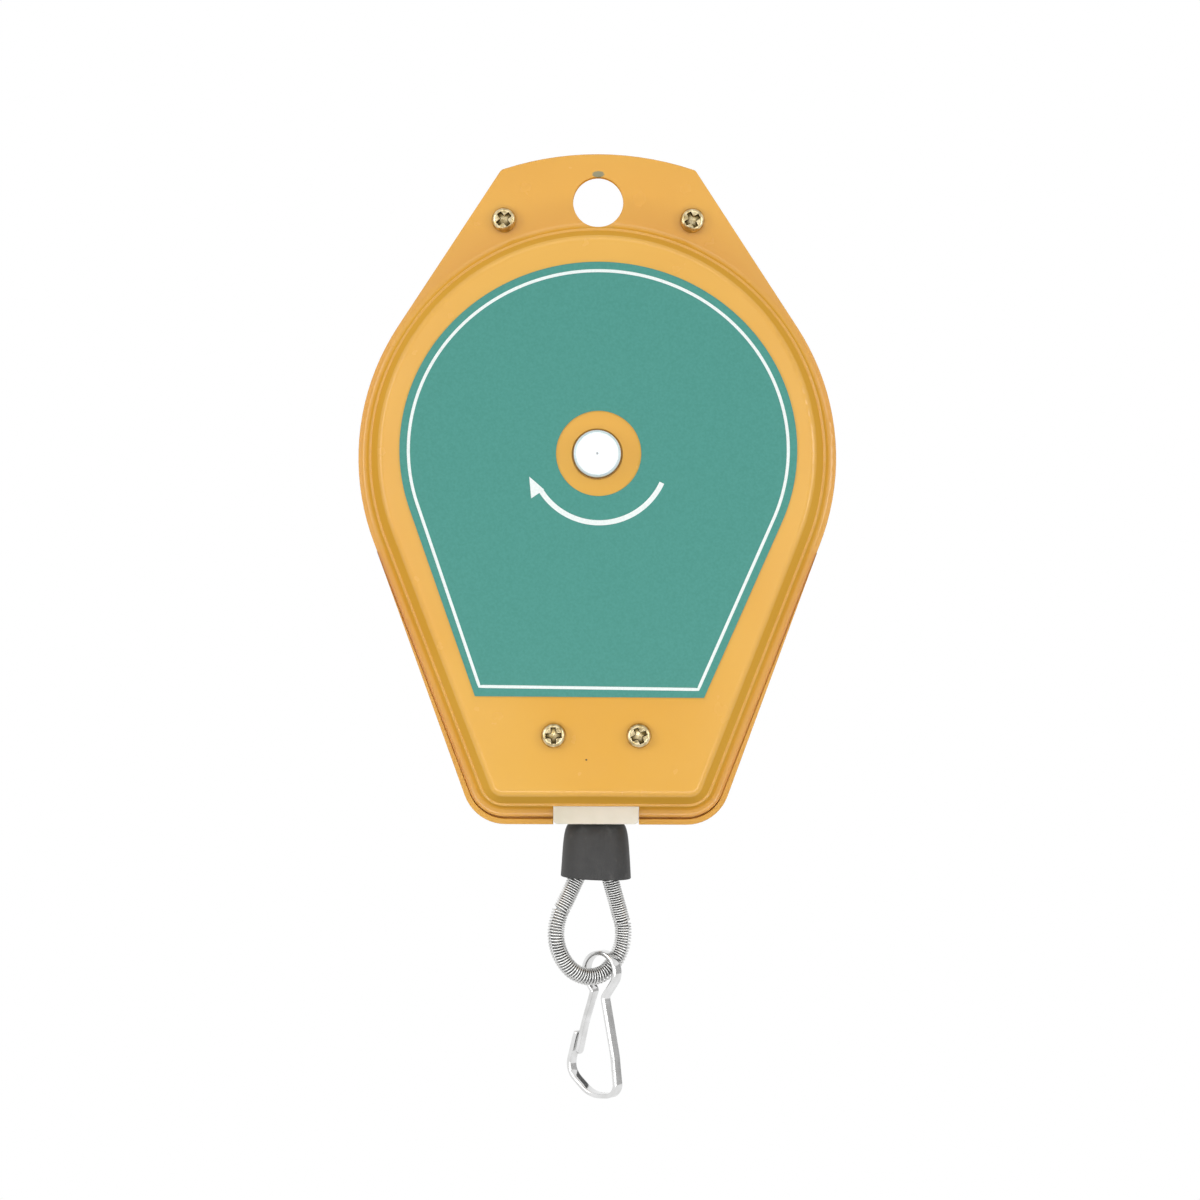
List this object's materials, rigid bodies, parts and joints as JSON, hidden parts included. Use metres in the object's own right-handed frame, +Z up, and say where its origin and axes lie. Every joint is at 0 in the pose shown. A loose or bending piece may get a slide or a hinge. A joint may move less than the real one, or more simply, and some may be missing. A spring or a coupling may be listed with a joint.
{
  "type": "tool balancer",
  "caption": "Spring tool balancer with pressed casing, hanging lug, wire rope, rubber stop and snap hook.",
  "frame": {"origin": "centre of the hanging hole, on the joint between the covers", "axes": "+Z up, the labelled front looks along -Y, +X to the right of the front"},
  "size_m": [0.1046, 0.0516, 0.2068],
  "materials": {
    "yellow_paint": "gloss enamel on pressed steel",
    "label_foil": "printed foil, green with a white line",
    "white_nylon": "moulded nylon",
    "black_rubber": "moulded rubber",
    "yellow_zinc": "yellow passivated zinc",
    "bright_zinc": "bright zinc plate",
    "spring_steel": "drawn and polished",
    "bronze": "sintered bearing bronze",
    "cast_aluminium": "die cast",
    "wire_rope": "stranded galvanised wire",
    "nickel_plate": "bright nickel plate"
  },
  "bodies": {
    "housing": {"front_cover": "yellow_paint", "rear_cover": "yellow_paint", "label_plate": "label_foil", "cable_guide": "white_nylon", "top_screws": "yellow_zinc", "top_nuts": "yellow_zinc", "bottom_screws": "yellow_zinc", "bottom_nuts": "yellow_zinc", "front_bush": "bronze", "rear_bush": "bronze", "pawl_pin": "bright_zinc", "pawl_spring": "spring_steel", "rope_lead": "wire_rope"},
    "winding_arbor": {"arbor": "bright_zinc", "ratchet_wheel": "bright_zinc", "wheel_spacer": "bright_zinc", "arbor_clips": "spring_steel", "thrust_washers": "white_nylon"},
    "ratchet_pawl": {"pawl": "bright_zinc"},
    "rope_reel": {"reel": "cast_aluminium", "reel_cover": "cast_aluminium", "reel_cover_screws": "bright_zinc", "reel_bushes": "bronze", "rope_winding": "wire_rope", "rope_anchor": "bright_zinc", "main_spring": "spring_steel"},
    "rope_end": {"rope_span": "wire_rope", "stopper": "black_rubber", "ferrule": "bright_zinc", "rope_loop": "wire_rope", "loop_sheath": "spring_steel"},
    "snap_hook": {"hook_body": "nickel_plate"},
    "gate": {"hook_gate": "nickel_plate"}
  },
  "joints": [
    {"name": "rope_pull", "type": "slide", "parent": "housing", "child": "rope_end", "axis": [0, 0, -1], "range_m": [0, 1.3], "stiffness_N_per_m": 15, "springref_m": -2, "deforming": ["rope_span"]},
    {"name": "reel_turn", "type": "hinge", "parent": "housing", "child": "rope_reel", "pos_m": [0, 0, -0.056], "axis": [0, -1, 0], "range_deg": [0, 1891.5], "deforming": ["main_spring"]},
    {"name": "arbor_turn", "type": "hinge", "parent": "housing", "child": "winding_arbor", "pos_m": [0, 0, -0.056], "axis": [0, 1, 0], "range_deg": [0, 26]},
    {"name": "pawl_lift", "type": "hinge", "parent": "housing", "child": "ratchet_pawl", "pos_m": [0.0143, 0, -0.043], "axis": [0, -1, 0], "range_deg": [0, 10.5], "deforming": ["pawl_spring"]},
    {"name": "hook_swing", "type": "hinge", "parent": "rope_end", "child": "snap_hook", "pos_m": [0.00135, 0.00067, -0.16926], "axis": [0.8988, 0.4384, 0], "range_deg": [-60, 60]},
    {"name": "gate_open", "type": "hinge", "parent": "snap_hook", "child": "gate", "pos_m": [-0.00019, 0.00178, -0.1729], "axis": [-0.5878, -0.809, 0], "range_deg": [0, 30], "stiffness_Nm_per_rad": 0.02, "springref_deg": -11.46}
  ],
  "couplings": [
    {"joint": "reel_turn", "follows": "rope_pull", "rad_per_m": 25.381},
    {"joint": "pawl_lift", "follows": "arbor_turn", "ratio": 0.385}
  ]
}
